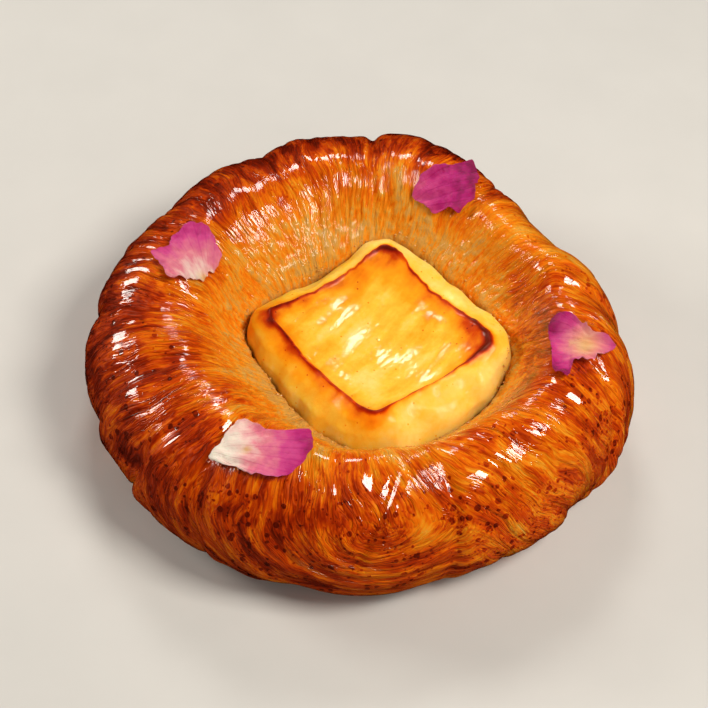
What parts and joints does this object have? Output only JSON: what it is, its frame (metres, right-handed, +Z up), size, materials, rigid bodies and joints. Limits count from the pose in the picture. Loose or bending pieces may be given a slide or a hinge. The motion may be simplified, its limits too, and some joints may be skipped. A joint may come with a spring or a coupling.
{
  "type": "danish pastry",
  "caption": "Round glazed danish pastry: a ring of laminated dough with a baked custard square in its well and rose petals laid on top.",
  "frame": {"origin": "middle of the footprint, on the flat underside", "axes": "+Z up out of the custard; -Y is the front, where the custard has slumped; +X to the right seen from the front"},
  "size_m": [0.1102, 0.1096, 0.0319],
  "materials": {
    "crust": "glazed brown baked crust",
    "custard": "glazed yellow baked custard with browned edges",
    "petals": "satin pink rose petal, cream at its base"
  },
  "bodies": {
    "root": {"dough": "crust", "custard": "custard", "petal_west": "petals", "petal_north": "petals", "petal_east": "petals", "petal_south": "petals"}
  },
  "joints": []
}
